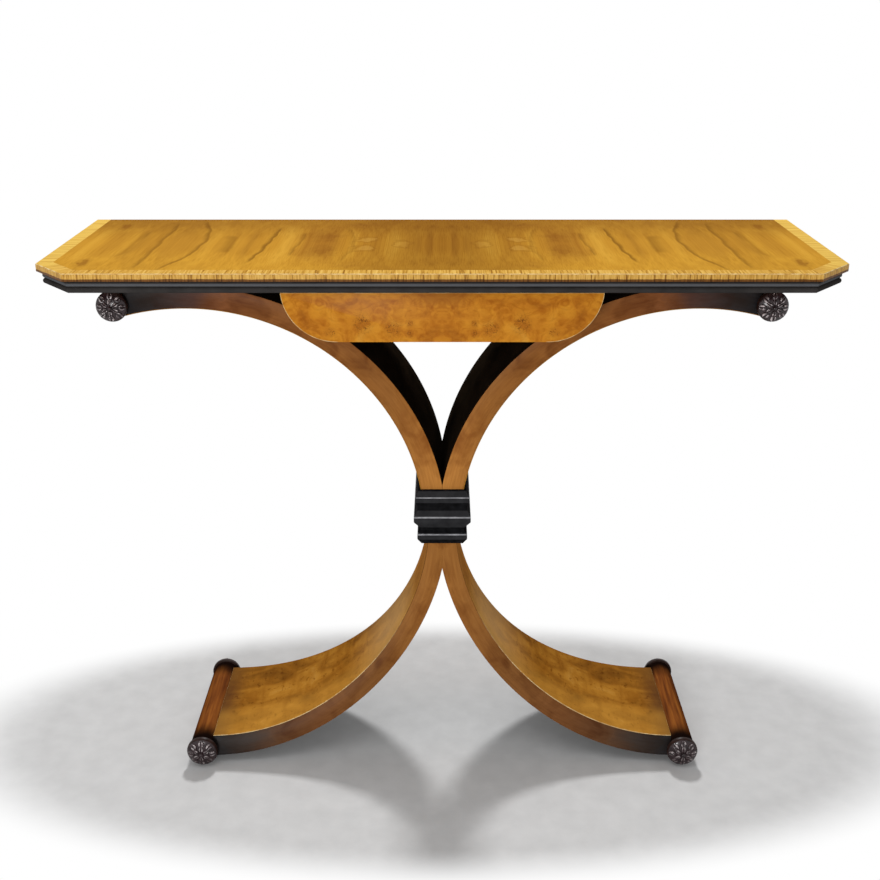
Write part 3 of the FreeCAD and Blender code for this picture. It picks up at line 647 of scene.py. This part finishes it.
# Painted shade: the lower rolls are darker below their tops.
roll_wood = redwood.mix(redwood.step(redwood.z, 0.047, 0.034, 0.0, 0.7), roll_wood, tone(72, 34, 14))
from_end = redwood.calc("MULTIPLY_ADD", smoke, 0.02, redwood.calc("ADD", redwood.calc("ABSOLUTE", redwood.y), -0.01))
redwood.colour(redwood.mix(redwood.step(from_end, 0.066, 0.108), roll_wood, tone(22, 12, 9)))
redwood.gloss(smoke, 0.22, 0.34)
redwood.relief(lengthways, 0.00008)


def turned(mesh, profile, steps):
    # A lathe: carries a profile of (radius, distance along -Y) once round the Y axis.
    verts = [mesh.verts.new((radius, -along, 0)) for radius, along in profile]
    edges = [mesh.edges.new(pair) for pair in zip(verts, verts[1:])]
    bmesh.ops.spin(mesh, geom=verts + edges, cent=(0, 0, 0), axis=(0, 1, 0), angle=math.tau, steps=steps,
                   use_merge=True)
    bmesh.ops.remove_doubles(mesh, verts=mesh.verts[:], dist=1e-6)
    bmesh.ops.recalc_face_normals(mesh, faces=mesh.faces[:])


for level, finish, slot in (("upper", ebony, "ebonised_wood"), ("lower", redwood, "polished_roll_wood")):
    low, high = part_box(level + "_roll_right")
    roll_radius = (high.z - low.z) / 2
    for side in ("left", "right"):
        bar = bmesh.new()
        nose = roll_radius - roll_chamfer
        turned(bar, [(0, high.y), (nose, high.y), (roll_radius, high.y - roll_chamfer),
                     (roll_radius, low.y + roll_chamfer), (nose, low.y), (0, low.y)], 64)
        bmesh.ops.translate(bar, vec=(high.x - roll_radius, 0, (high.z + low.z) / 2), verts=bar.verts[:])
        saw(bar, (high.x - roll_radius - roll_flat, 0, 0), (-1, 0, 0))
        turned_over(bar, side)
        smooth_curves(bar)
        set_piece(bar, side + "_" + level + "_roll", slot, (finish,), level + "_roll_" + side)


# Rosettes
# Eight turned and carved knobs, one on each end of each roll, glued in by a spigot.
# A domed face carries two rings of ribbed leaves round a button, in a dark brown glossy polish, with painted glints
# on the leaf crests and painted shade on the lower half of the lower knobs.

carving = Finish("dark carved wood", 0.2, 0.25, 0.25)
patina = carving.cloud(carving.place, 160.0, 3.0, 0.6)
carving.colour(carving.ramp(patina, [(0.3, tone(24, 15, 16)), (0.7, tone(56, 39, 42))]))
carving.gloss(patina, 0.12, 0.3)

# Painted glints on the leaf crests, and painted shade that dims them on the lower half of the lower knobs.
crest_glint = Finish("carving crest painted glints", 0.25, 0.2, 0.25)
glint_mottle = crest_glint.cloud(crest_glint.place, 190.0, 3.0, 0.6)
crest_glint_colour = crest_glint.ramp(glint_mottle, [(0.4, tone(38, 28, 30)), (0.5, tone(106, 94, 96)), (0.61, tone(218, 208, 208))])
crest_glint.colour(crest_glint.mix(crest_glint.step(crest_glint.z, 0.055, 0.012, 0.0, 0.75), crest_glint_colour, tone(72, 58, 58)))
crest_glint.gloss(glint_mottle, 0.15, 0.35)

turned_rim = Finish("turned rosette rim", 0.4, specular=0.1)
rim_stain = turned_rim.cloud(turned_rim.place, 120.0, 3.0, 0.6)
turned_rim.colour(turned_rim.ramp(rim_stain, [(0.3, tone(28, 17, 14)), (0.7, tone(50, 31, 26))]))
turned_rim.gloss(rim_stain, 0.32, 0.5)


def carved_leaf(mesh, length, width, height, reach, rise, tilt, turn):
    # One leaf: a rounded lump drawn out to a point at its outer end, with a groove cut down its middle.
    made = bmesh.ops.create_uvsphere(mesh, u_segments=16, v_segments=10, radius=1.0)
    # The crest faces take the painted glints.
    crests = {vert for vert in made["verts"] if vert.co.z > 0.4 and abs(vert.co.y) > 0.15}
    for face in {face for vert in crests for face in vert.link_faces}:
        if crests.issuperset(face.verts):
            face.material_index = 1
    for vert in made["verts"]:
        along, out, aside = vert.co.x, vert.co.z, vert.co.y
        taper = 1 - 0.55 * max(0.0, along) ** 2
        groove = 0.4 * max(0.0, 1 - abs(aside) / 0.35) if out > 0 else 0.0
        curl = 0.35 * max(0.0, along) ** 2
        vert.co = (along * length / 2, -(out * (1 - groove) + curl) * height, aside * taper * width / 2)
    lean = Matrix.Rotation(tilt, 4, "Z")
    place = Matrix.Rotation(turn, 4, "Y") @ Matrix.Translation((reach, -rise, 0)) @ lean
    bmesh.ops.transform(mesh, matrix=place, verts=made["verts"])


def carved_rosette(radius, thickness):
    # A turned knob facing -Y, with its rings of leaves and a button in the middle.
    mesh = bmesh.new()
    rim = 0.45 * thickness
    dome = 0.82 * thickness
    turned(mesh, [(0, 0), (0.9 * radius, 0), (radius, 0.06 * thickness), (radius, 0.3 * thickness),
                  (0.95 * radius, rim), (0.85 * radius, 0.52 * thickness), (0.6 * radius, 0.68 * thickness),
                  (0.3 * radius, 0.78 * thickness), (0, dome)], 48)
    for face in mesh.faces:
        if face.calc_center_median().y > -rim:
            face.material_index = 2
    # Each ring: the number of leaves, their length, reach and rise as shares of the knob, their tilt, and their turn.
    rings = ((8, 0.56, 0.68, 0.55, 0.55, 0.0), (6, 0.46, 0.36, 0.7, 0.3, 0.5))
    for count, length, reach, rise, tilt, shift in rings:
        width = 0.82 * math.tau * reach * radius / count
        height = 0.22 * thickness
        for leaf in range(count):
            turn = math.tau * (leaf + shift) / count
            carved_leaf(mesh, length * radius, width, height, reach * radius, rise * thickness, tilt, turn)
    made = bmesh.ops.create_icosphere(mesh, subdivisions=2, radius=0.14 * radius)
    bmesh.ops.translate(mesh, vec=(0, -0.88 * thickness, 0), verts=made["verts"])
    return mesh


for level in ("upper", "lower"):
    for face_name in ("front", "back"):
        for side in ("left", "right"):
            node = level + "_rosette_" + face_name + "_" + side
            low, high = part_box(node)
            radius = (high.z - low.z) / 2
            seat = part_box(level + "_roll_" + side)[0 if face_name == "front" else 1].y
            thickness = seat - low.y if face_name == "front" else high.y - seat
            knob = carved_rosette(radius, thickness)
            if face_name == "back":
                bmesh.ops.scale(knob, vec=(1, -1, 1), verts=knob.verts[:])
            bmesh.ops.translate(knob, vec=((high.x + low.x) / 2, seat, (high.z + low.z) / 2), verts=knob.verts[:])
            bmesh.ops.recalc_face_normals(knob, faces=knob.faces[:])
            smooth_curves(knob, 50)
            set_piece(knob, side + "_" + face_name + "_" + level + "_rosette", "carved_dark_wood",
                      (carving, crest_glint, turned_rim), node)


# Glides
# Four pads of dense felt, near the ends of the two lower rolls, which the table stands on.
# They are let into the undersides of the rolls and glued.

felt = Finish("glide felt", 0.95, specular=0.1)
pile = felt.cloud(felt.place, 900.0, 4.0, 0.7)
felt.colour(felt.ramp(pile, [(0.3, tone(52, 48, 44)), (0.7, tone(92, 86, 80))]))
felt.relief(pile, 0.0005)
dress(felt, "foot_glides")


# Dowels and screws
# Beech dowels join the arms to the bearers, the rolls and each other, glued into blind holes.
# Plain steel wood screws hold the bearers and the runners up to the board.

beech = planed_timber("beech", (60.0, 60.0, 60.0))
dress(beech, "beech_dowels")
steel = Finish("screw steel", 0.35)
steel.shader.inputs["Metallic"].default_value = 1.0
scratch = steel.cloud(steel.place, 1200.0, 2.0)
steel.colour(steel.ramp(scratch, [(0.3, tone(120, 118, 114)), (0.7, tone(176, 174, 170))]))
steel.gloss(scratch, 0.28, 0.45)
dress(steel, "underside_screws")


# Runners and stop
# Two rebated rails screwed to the underside of the board, with a ledge each for the drawer to slide on.
# A block between them stops the back of the drawer.

deep_timber = planed_timber("planed timber from front to back", (160.0, 5.0, 160.0))
dress(deep_timber, "drawer_runner_left", "drawer_runner_right", "drawer_stop")


# Drawer
# A shallow box of plain timber, grooved for its bottom, behind a thicker front that hangs below the moulding.
# The front's edges are stained and polished brown.

dress(deep_timber, "drawer_side_left", "drawer_side_right")
dress(long_timber, "drawer_back", "drawer_bottom")

front_edge = Finish("drawer front edge", 0.34, specular=0.06)
edge_grain = front_edge.cloud(front_edge.place, (18.0, 240.0, 240.0), 4.0, 0.6)
front_edge.colour(front_edge.ramp(edge_grain, [(0.3, tone(98, 58, 26)), (0.7, tone(150, 98, 46))]))
front_edge.gloss(edge_grain, 0.28, 0.42)
dress(front_edge, "drawer_front")


# Drawer front veneer
# Two book-matched leaves of burl laid on the drawer front, with clusters of dark pips.
# The arris of the curved ends carries a thin pale painted highlight.

curve_start = 0.15
leaf_arris = 0.0008

burl = Finish("drawer burl veneer", 0.4, specular=0.03)
from_middle = burl.calc("ABSOLUTE", burl.x)
matched = burl.point(from_middle, 0.0, burl.z)
billows = burl.cloud(matched, (24.0, 1.0, 30.0), 4.0, 0.55, 0.9)
swirl = burl.cloud(matched, (60.0, 1.0, 70.0), 3.0, 0.6, 1.6)
burl_wood = burl.ramp(billows, [(0.28, tone(160, 94, 28)), (0.45, tone(194, 122, 35)), (0.6, tone(210, 140, 42)),
                                (0.75, tone(214, 150, 54))])
swirl_shade = burl.ramp(swirl, [(0.3, tone(214, 188, 164)), (0.55, tone(255, 255, 255))])
burl_wood = burl.mix(0.7, burl_wood, swirl_shade, "MULTIPLY")
pips = burl.cloud(matched, (430.0, 1.0, 360.0), 2.0, 0.6, 1.2)
pip_dots = burl.step(pips, 0.54, 0.62)

# Clusters of pips: the place of each, and half its width and height.
clusters = ((0.107, 0.741, 0.013, 0.017), (0.066, 0.734, 0.012, 0.013), (0.044, 0.727, 0.006, 0.006),
            (0.15, 0.729, 0.009, 0.007), (0.044, 0.742, 0.005, 0.006))
for cluster_x, cluster_z, half_wide, half_high in clusters:
    away = burl.oval(from_middle, burl.z, cluster_x, cluster_z, half_wide, half_high)
    near = burl.step(away, 0.2, 1.3, 0.85, 0.0)
    burl_wood = burl.mix(burl.step(away, 0.2, 1.4, 0.25, 0.0), burl_wood, tone(146, 82, 28))
    burl_wood = burl.mix(burl.calc("MULTIPLY", near, pip_dots), burl_wood, tone(88, 45, 17))

# A brown arch at the top of the middle, where the two leaves meet.
arch = burl.oval(from_middle, burl.z, 0.0, 0.79, 0.055, 0.03)
arch = burl.calc("MULTIPLY_ADD", billows, 0.8, burl.calc("ADD", arch, -0.4))
burl_wood = burl.mix(burl.step(arch, 0.5, 1.1, 0.5, 0.0), burl_wood, tone(140, 80, 32))
burl.colour(burl_wood)
burl.gloss(billows, 0.22, 0.36)
burl.relief(swirl, 0.0001)

for side in ("left", "right"):
    leaf = welded_copy("drawer_front_veneer_" + side)
    front_plane = min(vert.co.y for vert in leaf.verts)
    highlight_edges = []
    for edge in leaf.edges:
        on_front = all(vert.co.y < front_plane + tolerance for vert in edge.verts)
        on_seam = all(abs(vert.co.x) < tolerance for vert in edge.verts)
        on_curve = max(abs(vert.co.x) for vert in edge.verts) > curve_start
        if on_front and on_curve and not on_seam and edge.calc_face_angle(0) > math.radians(40):
            highlight_edges.append(edge)
    # The rounded arris of the curved ends takes the pale painted highlight.
    for face in rounded(leaf, highlight_edges, leaf_arris):
        face.material_index = 1
    smooth_curves(leaf, 25)
    set_piece(leaf, side + "_drawer_burl", "burl_veneer", (burl, arris), "drawer_front_veneer_" + side, body="drawer")


# Floor, light and camera
# A plain pale floor that fades to white round an oval, and white surroundings that light the table softly.
# A lamp behind the table throws its shadow forwards, with a softbox overhead and a fill in front.
# The camera stands where the photograph was taken from.

floor_mesh = bmesh.new()
bmesh.ops.create_grid(floor_mesh, x_segments=1, y_segments=1, size=12.0)
floor_data = bpy.data.meshes.new("floor")
floor_mesh.to_mesh(floor_data)
floor_mesh.free()
floor = bpy.data.objects.new("floor", floor_data)
bpy.context.scene.collection.objects.link(floor)


def seen_white(tree):
    # 1 where the camera sees the surroundings directly, in a polish or through glass, and 0 for the light they give.
    path = tree.nodes.new("ShaderNodeLightPath")
    seen = path.outputs["Is Camera Ray"]
    for ray in ("Is Glossy Ray", "Is Transmission Ray"):
        either = tree.nodes.new("ShaderNodeMath")
        either.operation = "MAXIMUM"
        tree.links.new(seen, either.inputs[0])
        tree.links.new(path.outputs[ray], either.inputs[1])
        seen = either.outputs[0]
    return seen


paper = Finish("pale floor", 0.9, specular=0.0)
fibre = paper.cloud(paper.place, 30.0, 3.0)
paper.colour(paper.ramp(fibre, [(0.3, tone(208, 208, 208)), (0.7, tone(216, 216, 216))]))
from_table = paper.oval(paper.x, paper.y, 0.0, -0.03, 0.8, 0.3508772)
fade = paper.calc("MULTIPLY", seen_white(paper.tree), paper.step(from_table, 0.82, 1.08))
white = paper.node("Emission", {"Color": (1.0, 1.0, 1.0, 1.0), "Strength": 1.0}).outputs[0]
blend = paper.node("MixShader", {0: fade, 1: paper.shader.outputs[0], 2: white}).outputs[0]
paper.tree.links.new(blend, paper.tree.nodes["Material Output"].inputs["Surface"])
floor_data.materials.append(paper.material)

world = bpy.data.worlds.new("studio")
bpy.context.scene.world = world
world.use_nodes = True
sky = world.node_tree
background = sky.nodes["Background"]
background.inputs["Color"].default_value = (1.0, 1.0, 1.0, 1.0)
sky_level = sky.nodes.new("ShaderNodeMapRange")
sky_level.inputs["To Min"].default_value = 0.36
sky_level.inputs["To Max"].default_value = 1.0
sky.links.new(seen_white(sky), sky_level.inputs["Value"])
sky.links.new(sky_level.outputs["Result"], background.inputs["Strength"])

# Each lamp: its place, what it points at, its size and its power.
lamps = (("back light", (0, 2.4, 3.1), (0, 0, 0), 0.45, 80.0),
         ("overhead softbox", (-0.5, -0.9, 2.6), (0, 0, 0.5), 1.6, 9.0),
         ("front fill", (-0.7, -3.0, 0.9), (0, 0, 0.5), 0.7, 36.0))
for name, place, aim, size, power in lamps:
    lamp_data = bpy.data.lights.new(name, "AREA")
    lamp_data.energy = power
    lamp_data.size = size
    lamp = bpy.data.objects.new(name, lamp_data)
    lamp.location = place
    lamp.rotation_euler = (Vector(aim) - Vector(place)).to_track_quat("-Z", "Y").to_euler()
    bpy.context.scene.collection.objects.link(lamp)

camera_data = bpy.data.cameras.new("photograph")
camera_data.sensor_width = 36.0
camera_data.lens = 50.01
camera_data.shift_x = -0.00256
camera = bpy.data.objects.new("photograph", camera_data)
camera.location = (0, -1.7574, 1.1752)
camera.rotation_euler = (math.radians(69.213), 0, 0)
bpy.context.scene.collection.objects.link(camera)
bpy.context.scene.camera = camera
bpy.context.scene.view_settings.view_transform = "Standard"
